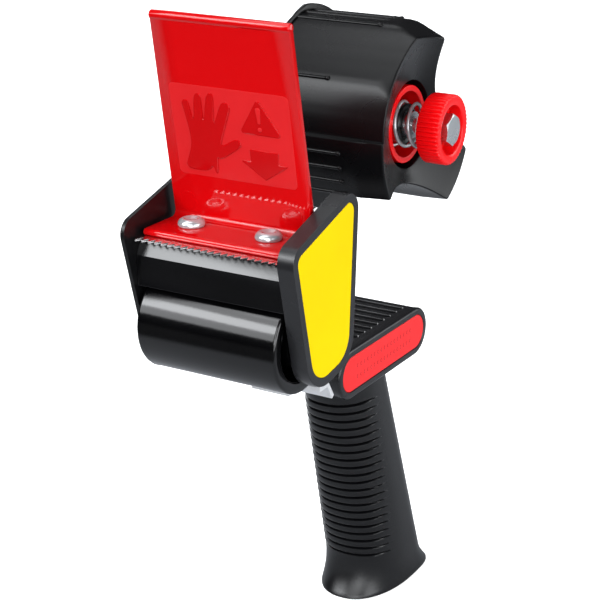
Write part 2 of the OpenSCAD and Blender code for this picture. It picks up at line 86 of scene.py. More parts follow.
for name, place, aim, width, height, power in (
        ("overhead_softbox", (-0.2, -0.1, 1.25), (0, -0.1, 0.15), 1.4, 0.8, 8.0),
        ("left_softbox", (-0.9, -1.35, 1.26), (0, -0.1, 1.1), 1.0, 1.55, 21.0),
        ("left_core", (-0.88, -1.33, 1.12), (0, -0.1, 1.0), 0.8, 0.5, 11.0),
        ("front_softbox", (0.4, -1.5, 0.8), (0, -0.1, 0.15), 1.2, 1.0, 15.0),
        ("right_softbox", (1.3, -0.35, 0.36), (0, -0.05, 0.12), 0.9, 1.0, 16.0),
        ("back_softbox", (1.1, 1.0, 0.3), (0, -0.05, 0.12), 1.0, 0.9, 9.0),
        ("rear_softbox", (-1.2, 0.7, 0.5), (0, -0.05, 0.12), 1.0, 0.9, 12.0),
        ("low_softbox", (0.75, -1.15, 0.25), (0, -0.05, 0.12), 1.0, 0.5, 6.0)):
    bpy.ops.object.light_add(type="AREA", location=place)
    lamp = bpy.context.object
    lamp.name = name
    lamp.rotation_euler = (Vector(aim) - Vector(place)).to_track_quat("-Z", "Y").to_euler()
    lamp.data.shape = "RECTANGLE"
    lamp.data.size = width
    lamp.data.size_y = height
    lamp.data.energy = power
    lamp.data.color = (0.95, 0.975, 1.0)

world = bpy.data.worlds.new("studio_air")
scene.world = world
world.use_nodes = True
nodes, links = world.node_tree.nodes, world.node_tree.links
way = nodes.new("ShaderNodeTexCoord")
split = nodes.new("ShaderNodeSeparateXYZ")
ramp = nodes.new("ShaderNodeValToRGB")
ramp.color_ramp.elements[0].position = 0.02
ramp.color_ramp.elements[0].color = (0.02, 0.02, 0.022, 1)
ramp.color_ramp.elements[1].position = 0.8
ramp.color_ramp.elements[1].color = (0.12, 0.12, 0.13, 1)
links.new(way.outputs["Generated"], split.inputs[0])
links.new(split.outputs["Z"], ramp.inputs["Fac"])
sight = nodes.new("ShaderNodeLightPath")
air = nodes.new("ShaderNodeMix")
air.data_type = "RGBA"
air.inputs["B"].default_value = (1, 1, 1, 1)
links.new(sight.outputs["Is Camera Ray"], air.inputs["Factor"])
links.new(ramp.outputs["Color"], air.inputs["A"])
links.new(air.outputs["Result"], nodes["Background"].inputs["Color"])

bpy.ops.mesh.primitive_plane_add(size=8, location=(0, 0, -0.0003))
floor = bpy.context.object
floor.name = "studio_floor"
floor_paint = bpy.data.materials.new("floor_paper")
floor_paint.use_nodes = True
nodes, links = floor_paint.node_tree.nodes, floor_paint.node_tree.links
bsdf = nodes["Principled BSDF"]
bsdf.inputs["Roughness"].default_value = 0.7
bsdf.inputs["Specular IOR Level"].default_value = 0.1
bsdf.inputs["Emission Strength"].default_value = 0.7
fibre = nodes.new("ShaderNodeTexNoise")
fibre.inputs["Scale"].default_value = 40
tint = nodes.new("ShaderNodeValToRGB")
tint.color_ramp.elements[0].color = (0.80, 0.80, 0.80, 1)
tint.color_ramp.elements[1].color = (0.84, 0.84, 0.84, 1)
spot = nodes.new("ShaderNodeTexCoord")
sight = nodes.new("ShaderNodeLightPath")
paper = nodes.new("ShaderNodeMix")
paper.data_type = "RGBA"
near = nodes.new("ShaderNodeVectorMath")
near.operation = "DISTANCE"
near.inputs[1].default_value = (0.1, 0.25, 0)
# Painted light: for every ray but the camera's, the floor's colour is pale near the object and falls to dark
# further out.
painted_light_pool = nodes.new("ShaderNodeValToRGB")
painted_light_pool.color_ramp.elements[0].position = 0.58
painted_light_pool.color_ramp.elements[0].color = (0.36, 0.37, 0.39, 1)
painted_light_pool.color_ramp.elements[1].position = 0.66
painted_light_pool.color_ramp.elements[1].color = (0.03, 0.03, 0.03, 1)
glow = nodes.new("ShaderNodeMix")
glow.data_type = "RGBA"
glow.inputs["A"].default_value = (0, 0, 0, 1)
glow.inputs["B"].default_value = (1, 1, 1, 1)
links.new(spot.outputs["Object"], fibre.inputs["Vector"])
links.new(fibre.outputs["Fac"], tint.inputs["Fac"])
links.new(sight.outputs["Is Camera Ray"], paper.inputs["Factor"])
links.new(spot.outputs["Object"], near.inputs[0])
links.new(near.outputs["Value"], painted_light_pool.inputs["Fac"])
links.new(painted_light_pool.outputs["Color"], paper.inputs["A"])
links.new(tint.outputs["Color"], paper.inputs["B"])
links.new(paper.outputs["Result"], bsdf.inputs["Base Color"])
links.new(sight.outputs["Is Camera Ray"], glow.inputs["Factor"])
links.new(glow.outputs["Result"], bsdf.inputs["Emission Color"])
floor.data.materials.append(floor_paint)


# Grip. A soft black rubber sleeve pushed over a moulded core, round in front and boxy at
# the back, with twenty rings in the front that run out along both sides. It leans forward
# and ends in a foot that flares most at the toe.
def wrap(name, rings):
    """Wraps a grid round a run of rings, given as points in millimetres."""
    around = len(rings[0])
    bpy.ops.object.select_all(action="DESELECT")
    bpy.ops.mesh.primitive_grid_add(x_subdivisions=around, y_subdivisions=len(rings) - 1, calc_uvs=False)
    piece = bpy.context.object
    piece.name = name
    for index, vertex in enumerate(piece.data.vertices):
        point = rings[index // (around + 1)][index % (around + 1) % around]
        vertex.co = Vector(point) / 1000
    bpy.ops.object.mode_set(mode="EDIT")
    bpy.ops.mesh.select_all(action="SELECT")
    bpy.ops.mesh.remove_doubles(threshold=1e-6)
    bpy.ops.mesh.normals_make_consistent(inside=False)
    bpy.ops.object.mode_set(mode="OBJECT")
    bpy.ops.object.shade_smooth_by_angle(angle=math.radians(40))
    return piece


def moulded_skin():
    """Fine grain and faint handling marks, for anything moulded or painted."""
    group = bpy.data.node_groups.get("moulded_skin")
    if group:
        return group
    group = bpy.data.node_groups.new("moulded_skin", "ShaderNodeTree")
    for label, value in (("Grain", 900.0), ("Roughness", 0.4), ("Smudge", 0.1)):
        socket = group.interface.new_socket(label, in_out="INPUT", socket_type="NodeSocketFloat")
        socket.default_value = value
    for label in ("Roughness", "Height", "Tone"):
        group.interface.new_socket(label, in_out="OUTPUT", socket_type="NodeSocketFloat")
    nodes, links = group.nodes, group.links
    given, result = nodes.new("NodeGroupInput"), nodes.new("NodeGroupOutput")
    place = nodes.new("ShaderNodeTexCoord")
    grain = nodes.new("ShaderNodeTexNoise")
    grain.inputs["Detail"].default_value = 3
    smudge = nodes.new("ShaderNodeTexNoise")
    smudge.inputs["Scale"].default_value = 28
    smudge.inputs["Detail"].default_value = 4
    centre = nodes.new("ShaderNodeMath")
    centre.operation = "SUBTRACT"
    centre.inputs[1].default_value = 0.5
    spread = nodes.new("ShaderNodeMath")
    spread.operation = "MULTIPLY_ADD"
    links.new(place.outputs["Object"], grain.inputs["Vector"])
    links.new(place.outputs["Object"], smudge.inputs["Vector"])
    links.new(given.outputs["Grain"], grain.inputs["Scale"])
    links.new(smudge.outputs["Fac"], centre.inputs[0])
    links.new(centre.outputs[0], spread.inputs[0])
    links.new(given.outputs["Smudge"], spread.inputs[1])
    links.new(given.outputs["Roughness"], spread.inputs[2])
    links.new(spread.outputs[0], result.inputs["Roughness"])
    links.new(grain.outputs["Fac"], result.inputs["Height"])
    links.new(smudge.outputs["Fac"], result.inputs["Tone"])
    return group


def finish(name, dark, light, rough, grain=900.0, smudge=0.1, bump=0.05, gloss=0.5, metal=0.0):
    """A moulded, painted or plated finish, between two close colours."""
    paint = bpy.data.materials.new(name)
    paint.use_nodes = True
    nodes, links = paint.node_tree.nodes, paint.node_tree.links
    bsdf = nodes["Principled BSDF"]
    bsdf.inputs["Metallic"].default_value = metal
    bsdf.inputs["Specular IOR Level"].default_value = gloss
    skin = nodes.new("ShaderNodeGroup")
    skin.node_tree = moulded_skin()
    skin.inputs["Grain"].default_value = grain
    skin.inputs["Roughness"].default_value = rough
    skin.inputs["Smudge"].default_value = smudge
    tone = nodes.new("ShaderNodeValToRGB")
    tone.color_ramp.elements[0].position = 0.3
    tone.color_ramp.elements[0].color = (*dark, 1)
    tone.color_ramp.elements[1].position = 0.7
    tone.color_ramp.elements[1].color = (*light, 1)
    bumps = nodes.new("ShaderNodeBump")
    bumps.inputs["Strength"].default_value = bump
    bumps.inputs["Distance"].default_value = 0.0004
    links.new(skin.outputs["Tone"], tone.inputs["Fac"])
    links.new(tone.outputs["Color"], bsdf.inputs["Base Color"])
    links.new(skin.outputs["Roughness"], bsdf.inputs["Roughness"])
    links.new(skin.outputs["Height"], bumps.inputs["Height"])
    links.new(bumps.outputs["Normal"], bsdf.inputs["Normal"])
    return paint


def painted(paint, *nodes):
    """Gives its finish to each CAD node that stays as it is."""
    for node in nodes:
        frame["nodes"][node].data.materials.clear()
        frame["nodes"][node].data.materials.append(paint)


grip_height, grip_lean = 97.5, math.tan(math.radians(17))
half_width, front_reach, back_reach, foot_spread = 13.5, 18.2, 14.0, 0.23
toe_flare, toe_height, heel_flare, heel_widen, heel_height = 9.6, 18.0, 5.0, 0.8, 9.0
round_power, box_drop = 0.87, 0.29
ring_count, ring_depth, first_ring, plain_top = 20, 1.3, 18.0, 9.0
ring_pitch = (grip_height - plain_top - first_ring) / ring_count
groove_under, groove_over, land_swell = 0.24, 0.13, 0.25
fade_low, fade_rise, fade_height, fade_width = -0.30, 0.33, 70, 0.62
core_r, points_round = 8.05, 96


def grip_ring(height, inset=0.0):
    """One ring of points round the grip at a height, in millimetres."""
    spread = 1 + foot_spread * (1 - height / grip_height)
    toe = toe_flare * max(0, 1 - height / toe_height) ** 2
    heel = max(0, 1 - height / heel_height) ** 1.5
    at = (height - first_ring) / ring_pitch
    step = at % 1
    under = over = swell = 0
    if -0.01 < at < ring_count + 0.3:
        under = 0.5 + 0.5 * math.cos(math.pi * min(1, step / groove_under))
    if -0.2 < at < ring_count:
        over = 0.5 + 0.5 * math.cos(math.pi * min(1, (1 - step) / groove_over))
    if 0 < at < ring_count:
        swell = land_swell * math.sin(math.pi * step)
    run_out = fade_low + fade_rise * (height - first_ring) / fade_height
    ring = []
    for index in range(points_round):
        a = math.radians(index * 360 / points_round)
        c, s = math.cos(a), math.sin(a)
        power = round_power if s < 0 else round_power - box_drop * min(1, s * 4)
        fade = max(0, min(1, (run_out - s) / fade_width))
        fade = fade * fade * (3 - 2 * fade)
        cut = inset + max(ring_depth * under * fade, ring_depth * over * fade ** 3) - swell * fade
        wide = half_width * spread + heel_widen * heel - cut
        deep = (front_reach * spread + toe if s < 0 else back_reach * spread + heel_flare * heel) - cut
        ring.append((wide * math.copysign(abs(c) ** power, c),
                     deep * math.copysign(abs(s) ** power, s) - height * grip_lean, height))
    return ring


core_hole = [(core_r * math.cos(a), core_r * math.sin(a), 0)
             for a in (math.radians(index * 360 / points_round) for index in range(points_round))]
heights = [0.5, 1.1, 2.0] + [3.2 + 1.2 * i for i in range(12)]
below = (0, 0.05, 0.1, 0.15, 0.2, 0.25)
land = (0.38, 0.5, 0.62, 0.75, 0.84)
above = (0.87, 0.9, 0.93, 0.96, 0.98)
heights += [first_ring + ring_pitch * (step - 1) for step in above]
for index in range(ring_count):
    heights += [first_ring + ring_pitch * (index + step) for step in below + land + above]
heights += [first_ring + ring_pitch * (ring_count + step) for step in below]
heights += [91, 93, 95, grip_height]
rings = [[(x, y - 3 * grip_lean, 3) for x, y, z in core_hole], core_hole]
rings += [grip_ring(0, 1.5), grip_ring(0.15, 0.9)]
rings += [grip_ring(h, max(0, 0.5 - 0.45 * h)) for h in heights]
rings.append([(x, y - grip_height * grip_lean, grip_height) for x, y, z in core_hole])
grip = wrap("grip_sleeve", rings)
grip_rubber = finish("grip_rubber", (0.002, 0.002, 0.0024), (0.003, 0.003, 0.0035), 0.3,
                     grain=1400, bump=0.08, gloss=0.4)
grip.data.materials.append(grip_rubber)
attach(grip, "frame")
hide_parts("handle_grip")
painted(grip_rubber, "foot_plug", "handle_core")


# Body. A round-ended moulded black block that joins the grip to the head. Its flat top has
# a thumb rest of ten cross grooves, and the rim on each side is a ring of its own, so a
# fine seam runs all round it.
def rounded(node, name, width, segments=3, angle=25):
    """A copy of a CAD node with its edges rounded over, as a mould or a tumbler leaves them."""
    bpy.ops.object.select_all(action="DESELECT")
    source = frame["nodes"][node]
    source.select_set(True)
    bpy.context.view_layer.objects.active = source
    bpy.ops.object.duplicate()
    piece = bpy.context.object
    bpy.ops.object.parent_clear(type="CLEAR_KEEP_TRANSFORM")
    piece.name = name
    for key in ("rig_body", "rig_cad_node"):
        if key in piece:
            del piece[key]
    piece.data.materials.clear()
    bpy.ops.object.mode_set(mode="EDIT")
    bpy.ops.mesh.select_all(action="SELECT")
    bpy.ops.mesh.remove_doubles(threshold=2e-6)
    bpy.ops.mesh.dissolve_limited(angle_limit=math.radians(0.6))
    bpy.ops.object.mode_set(mode="OBJECT")
    edge = piece.modifiers.new("edge", "BEVEL")
    edge.width = width / 1000
    edge.segments = segments
    edge.limit_method = "ANGLE"
    edge.angle_limit = math.radians(angle)
    edge.harden_normals = False
    bpy.ops.object.modifier_apply(modifier="edge")
    bpy.ops.object.shade_smooth_by_angle(angle=math.radians(35))
    piece.modifiers.new("even", "WEIGHTED_NORMAL").keep_sharp = True
    bpy.ops.object.modifier_apply(modifier="even")
    return piece


def stands_for(piece, body, slot, paint, *nodes):
    """Gives a finished piece its finish, its body and the CAD nodes that it stands for."""
    piece.data.materials.append(paint)
    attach(piece, body)
    if nodes:
        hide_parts(*nodes)


def capped(piece):
    """Closes the open ends of a wrapped piece."""
    bpy.ops.object.mode_set(mode="EDIT")
    bpy.ops.mesh.select_all(action="SELECT")
    bpy.ops.mesh.fill_holes(sides=0)
    bpy.ops.mesh.normals_make_consistent(inside=False)
    bpy.ops.object.mode_set(mode="OBJECT")
    bpy.ops.object.shade_smooth_by_angle(angle=math.radians(35))


def pick(piece, test, kind="VERT"):
    """Selects the vertices or faces of a piece that pass a test, and stays in edit mode."""
    bpy.ops.object.select_all(action="DESELECT")
    piece.select_set(True)
    bpy.context.view_layer.objects.active = piece
    bpy.ops.object.mode_set(mode="EDIT")
    bpy.ops.mesh.select_mode(type=kind)
    bpy.ops.mesh.select_all(action="DESELECT")
    bpy.ops.object.mode_set(mode="OBJECT")
    if kind == "VERT":
        for vertex in piece.data.vertices:
            vertex.select = test(vertex.co * 1000)
    else:
        for face in piece.data.polygons:
            face.select = test(face.center * 1000)
    bpy.ops.object.mode_set(mode="EDIT")


def joined(parts):
    """Joins pieces into the first of them."""
    bpy.ops.object.select_all(action="DESELECT")
    for part in parts:
        part.select_set(True)
    bpy.context.view_layer.objects.active = parts[0]
    bpy.ops.object.join()
    return parts[0]


body_y, body_z = -28.313, 107.0
body_half, body_r, body_reach = 17.0, 9.5, 25.5
black_plastic = finish("black_plastic", (0.009, 0.009, 0.010), (0.012, 0.012, 0.0135), 0.28,
                       grain=1600, bump=0.06, gloss=0.4)
bpy.ops.object.select_all(action="DESELECT")
bpy.ops.mesh.primitive_cylinder_add(vertices=96, radius=body_r / 1000, depth=2 * body_half / 1000,
                                    rotation=(0, math.pi / 2, 0))
body = bpy.context.object
body.name = "body_block"
bpy.ops.transform.rotate(value=math.radians(1.875), orient_axis="X", center_override=(0, 0, 0))
bpy.ops.object.transform_apply(location=True, rotation=True, scale=True)
for side in (-1, 1):
    pick(body, lambda spot: spot.y * side > 0)
    bpy.ops.transform.translate(value=(0, side * body_reach / 1000, 0))
    bpy.ops.object.mode_set(mode="OBJECT")
pick(body, lambda spot: abs(spot.x) > body_half - 0.01, "FACE")
bpy.ops.mesh.bevel(offset=0.001, segments=4)
bpy.ops.mesh.select_all(action="SELECT")
bpy.ops.transform.translate(value=(0, body_y / 1000, body_z / 1000))
bpy.ops.object.mode_set(mode="OBJECT")
groove_count, groove_pitch, groove_half = 10, 5.1, 10.5
groove_section = ((-1.9, 1.0), (-1.7, 1.3), (-0.5, 1.4), (-0.28, 1.46),
                  (-0.12, 1.58), (-0.03, 1.76), (0, 1.95), (0.6, 1.95))
slots = []
for index in range(groove_count):
    groove_y = body_y + (index - (groove_count - 1) / 2) * groove_pitch
    rings = []
    for depth, radius in groove_section:
        rings.append([(math.copysign(groove_half, math.cos(a)) + radius * math.cos(a),
                       groove_y + radius * math.sin(a), body_z + body_r + depth)
                      for a in (math.radians(7.5 + k * 15) for k in range(24))])
    slot = wrap("slot", rings)
    capped(slot)
    slots.append(slot)
slot = joined(slots)
bpy.ops.object.select_all(action="DESELECT")
body.select_set(True)
bpy.context.view_layer.objects.active = body
grooves = body.modifiers.new("grooves", "BOOLEAN")
grooves.operation = "DIFFERENCE"
grooves.solver = "EXACT"
grooves.object = slot
bpy.ops.object.modifier_apply(modifier="grooves")
bpy.data.objects.remove(slot)
rim_width, rim_edge, bed_wall, bed_depth = 1.55, 0.2, 0.05, 1.3
pick(body, lambda spot: abs(spot.x) > body_half - 0.01, "FACE")
bpy.ops.mesh.inset(thickness=rim_width / 1000, depth=0)
bpy.ops.mesh.inset(thickness=rim_edge / 1000, depth=-rim_edge / 1000)
bpy.ops.mesh.inset(thickness=bed_wall / 1000, depth=-bed_depth / 1000)
seam, seam_depth = (13.4, 13.46, 13.74, 13.8), 0.25
for side in (-1, 1):
    for place in seam:
        bpy.ops.mesh.select_all(action="SELECT")
        bpy.ops.mesh.bisect(plane_co=(side * place / 1000, 0, 0), plane_no=(1, 0, 0))
bpy.ops.object.mode_set(mode="OBJECT")
pick(body, lambda spot: seam[1] < abs(spot.x) < seam[2], "FACE")
bpy.ops.transform.shrink_fatten(value=-seam_depth / 1000)
bpy.ops.object.mode_set(mode="OBJECT")
bpy.ops.object.shade_smooth_by_angle(angle=math.radians(35))
stands_for(body, "frame", "black_plastic", black_plastic, "body_housing")


# Side inlays. Bright red plastic ovals let into both sides of the body, with two rows
# of small crescent dimples as a finger grip. The dimples are thin raised crescents in a
# darker red, which is painted shade in place of their hollows.
inlay_red = finish("inlay_red", (0.80, 0.016, 0.018), (0.86, 0.020, 0.022), 0.42,
                   grain=1500, bump=0.04, gloss=0.25)
# Painted shade: the dimples get a darker red than the inlay, standing in for the shade inside them.
dimple_painted_shade = finish("dimple_painted_shade", (0.40, 0.006, 0.008), (0.45, 0.008, 0.01), 0.5, gloss=0.3)
dimple_row, dimple_count, dimple_pitch = 2.1, 17, 2.62
dimple_r, dimple_half, dimple_proud, inlay_face = 0.66, 0.17, 0.09, 16.9
for side, node in ((1, "side_inlay_right"), (-1, "side_inlay_left")):
    inlay = rounded(node, node + "_oval", 0.35)
    stands_for(inlay, "frame", "red_plastic", inlay_red, node)
    dimples = []
    for row in (-dimple_row, dimple_row):
        for index in range(dimple_count):
            dimple_y, dimple_z = body_y + (index - dimple_count // 2) * dimple_pitch, body_z + row
            arc = []
            for turn in range(7):
                a = math.radians(100 + turn * 27)
                tube = []
                for k in range(6):
                    b = math.radians(k * 60)
                    r = dimple_r + dimple_half * math.cos(b)
                    tube.append((side * (inlay_face + dimple_proud * math.sin(b)),
                                 dimple_y + r * math.cos(a), dimple_z + r * math.sin(a)))
                arc.append(tube)
            dimples.append(wrap("dimple", arc))
    rows = joined(dimples)
    rows.name = node + "_dimples"
    stands_for(rows, "frame", "red_plastic", dimple_painted_shade)


# Side plate. The left side of the head is one black painted steel sheet, with the arm
# that carries the hub and a flange folded under the roller.
plate_paint = finish("plate_paint", (0.003, 0.003, 0.0034), (0.0045, 0.0045, 0.005), 0.28,
                     grain=700, bump=0.05, gloss=0.3)
plate = rounded("frame_plate", "side_plate", 0.3)
stands_for(plate, "frame", "black_steel", plate_paint, "frame_plate")

# Blade bar. A black painted steel bar screwed between the two sides, sloped in front, that
# carries the blade and the flap. The front edge of its top is set back a little, so that
# the slope catches the light.
black_paint = finish("black_paint", (0.0015, 0.0015, 0.0018), (0.0025, 0.0025, 0.003), 0.17,
                     grain=700, bump=0.03, gloss=0.5)
bar = rounded("blade_bar", "cutter_bar", 0.25)
bar_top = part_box("blade_bar")[1].z * 1000
edge_height, edge_front, set_back = 0.4, -117, 0.6
pick(bar, lambda spot: spot.z > bar_top - edge_height and spot.y < edge_front)
bpy.ops.transform.translate(value=(0, set_back / 1000, 0))
bpy.ops.object.mode_set(mode="OBJECT")
bpy.ops.object.shade_flat()
stands_for(bar, "frame", "black_steel", black_paint, "blade_bar")

# Right cover. A thick black moulding on the knob side with softened edges, and a bare
# yellow panel let into it inside a narrow border.
cover = rounded("right_cover", "side_cover", 0.55)
stands_for(cover, "frame", "black_plastic", black_plastic, "right_cover")
panel_yellow = finish("panel_yellow", (0.80, 0.56, 0.0), (0.84, 0.60, 0.0), 0.5,
                      grain=1200, bump=0.06, gloss=0.04)
panel = rounded("yellow_panel", "cover_panel", 0.3)
stands_for(panel, "frame", "yellow_plastic", panel_yellow, "yellow_panel")

# Bracket. Zinc-plated sheet steel under the roller, bent down into the body and up into
# an ear behind the cover.
zinc = finish("zinc_plate", (0.74, 0.74, 0.75), (0.84, 0.84, 0.85), 0.34,
              grain=300, smudge=0.25, bump=0.05, metal=0.45)
bracket = rounded("base_bracket", "zinc_bracket", 0.2)
stands_for(bracket, "frame", "zinc", zinc, "base_bracket")

# Blade. A hard steel strip across the whole opening with 22 ground saw teeth, clamped
# between the bar and the flap.
blade_steel = finish("blade_steel", (0.70, 0.68, 0.68), (0.80, 0.78, 0.78), 0.18,
                     grain=500, smudge=0.1, bump=0.03, metal=1.0)
blade = rounded("blade", "cutter_blade", 0.12, segments=1)
stands_for(blade, "frame", "steel", blade_steel, "blade")


# Flap. One bent strip of glossy red plastic with rounded edges and a bead along its
# top, screwed down over the blade. It is a little narrower at the top.
def softened(corners, steps=6):
    """Rounds the corners (y, z, radius) of an outline and gives its points."""
    points = []
    for index, (y, z, radius) in enumerate(corners):
        here = Vector((y, z))
        if not radius:
            points.append(here)
            continue
        back = (Vector(corners[index - 1][:2]) - here).normalized()
        on = (Vector(corners[(index + 1) % len(corners)][:2]) - here).normalized()
        half = math.acos(max(-1, min(1, back.dot(on)))) / 2
        centre = here + (back + on).normalized() * radius / math.sin(half)
        start = here + back * radius / math.tan(half) - centre
        turn = start.angle_signed(here + on * radius / math.tan(half) - centre)
        for step in range(steps + 1):
            a = -turn * step / steps
            points.append(centre + Vector((start.x * math.cos(a) - start.y * math.sin(a),
                                           start.x * math.sin(a) + start.y * math.cos(a))))
    return points


roller_y, roller_z = -106.713, 138.7
lean = math.radians(11)
along = Vector((-math.sin(lean), math.cos(lean)))
outward = Vector((math.cos(lean), math.sin(lean)))
flap_front, flap_base, flap_under, flap_tail = 7.2, 33.7, 31.3, -12
flap_height, flap_half, flap_taper = 71.2, 27, 0.9
bead_r, bead_from, bead_sweep, bead_steps = 1.632, -43.8, 267.6, 18
bead = Vector((flap_front + 1.2, flap_base)) + flap_height * along
corners = [(flap_tail, flap_under, 1.15), (9.645, flap_under, 2.2), (9.6, 34.2, 6)]
for step in range(bead_steps + 1):
    a = math.radians(bead_from + step * bead_sweep / bead_steps)
    spot = bead + bead_r * (math.cos(a) * outward + math.sin(a) * along)
    corners.append((spot.x, spot.y, 0))
corners += [(flap_front, flap_base, 2.0), (flap_tail, flap_base, 1.15)]
outline = softened(corners)
rings = []
edge_round = ((0.5, 0), (0.24, 0.07), (0.07, 0.24), (0, 0.5), (0, 9))
stations = [(-1, *cut) for cut in edge_round] + [(0, 0, 0)] + [(1, *cut) for cut in edge_round[::-1]]
for side, inset, step in stations:
    ring = []
    for index, point in enumerate(outline):
        edge = outline[(index + 1) % len(outline)] - outline[index - 1]
        inner = point + Vector((-edge.y, edge.x)).normalized() * inset
        wide = flap_half - flap_taper * max(0, point.y - flap_base) / 70 - step
        ring.append((side * wide, roller_y + inner.x, roller_z + inner.y))
    rings.append(ring)
flap_red = finish("flap_red", (0.49, 0.001, 0.002), (0.52, 0.0012, 0.0025), 0.05,
                  grain=300, smudge=0.03, bump=0.006, gloss=0.4)
flap = wrap("tape_flap_sheet", rings)
capped(flap)
stands_for(flap, "frame", "red_plastic", flap_red, "tape_flap")


# Safety signs. A frosted field on the flap's front with a glove, a warning triangle and
# an arrow towards the blade, all raised by a hair in the mould, and two round ejector marks.
def on_flap(u, v, height):
    """A point on the flap's front, in metres."""
    return Vector((u, roller_y + flap_front - v * math.sin(lean) - height * math.cos(lean),
                   roller_z + flap_base + v * math.cos(lean) - height * math.sin(lean))) / 1000


def raised(name, outline, low, high, edge):
    """A flat raised shape on the flap's front, from an outline in its plane."""
    bpy.ops.object.select_all(action="DESELECT")
    bpy.ops.mesh.primitive_circle_add(vertices=len(outline), fill_type="NGON")
    piece = bpy.context.object
    piece.name = name
    for vertex, (u, v) in zip(piece.data.vertices, outline):
        vertex.co = on_flap(u, v, low)
    bpy.ops.object.mode_set(mode="EDIT")
    bpy.ops.mesh.select_all(action="SELECT")
    bpy.ops.mesh.extrude_region_move(
        TRANSFORM_OT_translate={"value": on_flap(0, 0, high) - on_flap(0, 0, low)})
    bpy.ops.mesh.bevel(offset=edge / 1000, segments=2, affect="EDGES")
    bpy.ops.mesh.select_all(action="SELECT")
    bpy.ops.mesh.normals_make_consistent(inside=False)
    bpy.ops.object.mode_set(mode="OBJECT")
    return piece


def eased(points, times=2):
    """Cuts the corners of a closed outline until it runs smoothly."""
    for _ in range(times):
        points = [(a[0] * (1 - k) + b[0] * k, a[1] * (1 - k) + b[1] * k)
                  for a, b in zip(points, points[1:] + points[:1]) for k in (0.25, 0.75)]
    return points


field_red = finish("field_red", (0.53, 0.006, 0.008), (0.58, 0.008, 0.010), 0.4,
                   grain=2200, bump=0.08, gloss=0.45)
sign_red = finish("sign_red", (0.42, 0.001, 0.002), (0.46, 0.0015, 0.003), 0.09,
                  smudge=0.03, bump=0.006, gloss=0.6)
corners = [(-22.3, 16.5, 1.8), (23.0, 16.5, 1.8), (23.0, 48.7, 1.8), (-22.3, 48.7, 1.8)]
field = raised("sign_field", [tuple(p) for p in softened(corners)], -0.3, 0.06, 0.03)
stands_for(field, "frame", "red_plastic", field_red)
glove = [(-19.8, 18.6), (-17.9, 23), (-16.2, 27), (-16, 31.3), (-17.4, 40), (-18, 42), (-17, 43.4),
         (-15.6, 43.4), (-15, 41.7), (-14, 35.4), (-13, 44.5), (-11.7, 46.2), (-10.5, 46), (-10, 44.3),
         (-10.3, 35), (-8.4, 44.5), (-7.2, 46.4), (-6, 46.9), (-5, 45.6), (-6.7, 34.6), (-3.4, 42.2),
         (-2.2, 43.7), (-0.6, 44.2), (0.8, 42.5), (0.2, 40.7), (-4.5, 29.3), (-3.7, 28.5), (0.5, 31.2),
         (2.4, 31.6), (3.6, 30), (3, 28.8), (-5.5, 23), (-6.2, 24.6), (-6.8, 18.5), (-7.8, 18),
         (-8.5, 21.3), (-10.4, 18.4)]
triangle = softened([(11.3, 46.7, 0.9), (3.4, 34.2, 0.9), (19.3, 34.0, 0.9)])
arrow = softened([(6.5, 28.8, 0.3), (17.2, 28.7, 0.3), (17.1, 24.7, 0), (20.7, 24.5, 0.3),
                  (11.4, 18.3, 0.3), (2.4, 24.6, 0.3), (6.4, 24.6, 0)])
for name, outline in (("sign_glove", eased(glove)), ("sign_triangle", [tuple(p) for p in triangle]),
                      ("sign_arrow", [tuple(p) for p in arrow])):
    stands_for(raised(name, outline, -0.2, 0.4, 0.28), "frame", "red_plastic", sign_red)
bar_mark = softened([(10.4, 43.6, 0.5), (10.9, 38.2, 0.4), (11.9, 38.2, 0.4), (12.3, 43.6, 0.5)])
dot_r, ejector_r = 0.75, 3.4
round_mark = [(11.4 + dot_r * math.cos(a), 36.2 + dot_r * math.sin(a))
              for a in (math.radians(k * 22.5) for k in range(16))]
for name, outline in (("sign_bar", [tuple(p) for p in bar_mark]), ("sign_dot", round_mark)):
    stands_for(raised(name, outline, -0.2, 0.6, 0.15), "frame", "red_plastic", field_red)
for name, u, v in (("ejector_mark_left", -20.8, 6.3), ("ejector_mark_right", 20.4, 6.4)):
    ring = [(u + ejector_r * math.cos(a), v + ejector_r * math.sin(a))
            for a in (math.radians(k * 9) for k in range(40))]
    stands_for(raised(name, ring, -0.2, 0.07, 0.05), "frame", "red_plastic", flap_red)


# Flap screws. Two bright pan heads with a dished recess, which hold flap and blade down
# on the bar.
def turned(name, profile, centre, axis, around=64):
    """Turns a profile (radius, distance along the axis) round an axis along X or Z."""
    rings = []
    for radius, far in profile:
        ring = []
        for index in range(around):
            a = 2 * math.pi * index / around
            c, s = radius * math.cos(a), radius * math.sin(a)
            spot = (far, c, s) if axis == "X" else (c, s, far)
            ring.append(tuple(m + d for m, d in zip(centre, spot)))
        rings.append(ring)
    return wrap(name, rings)


chrome = finish("chrome", (0.46, 0.48, 0.50), (0.54, 0.56, 0.58), 0.2,
                grain=300, smudge=0.08, bump=0.01, metal=0.6)
dished = [(0, 2.0), (0.9, 2.03), (1.4, 2.14), (1.8, 2.34), (2.15, 2.56), (2.5, 2.68), (2.9, 2.7)]
pan = [(3.4, 2.58), (3.9, 2.26), (4.3, 1.8), (4.55, 1.25), (4.65, 0.75), (4.58, 0.35), (4.4, 0.08), (4.2, 0)]
shank = [(2.0, 0), (2.0, -9.5), (0, -9.5)]
for node, screw_x in (("flap_screw_left", -15), ("flap_screw_right", 15)):
    screw = turned(node + "_head", dished + pan + shank, (screw_x, roller_y - 1, roller_z + flap_base), "Z")
    stands_for(screw, "frame", "chrome", chrome, node)

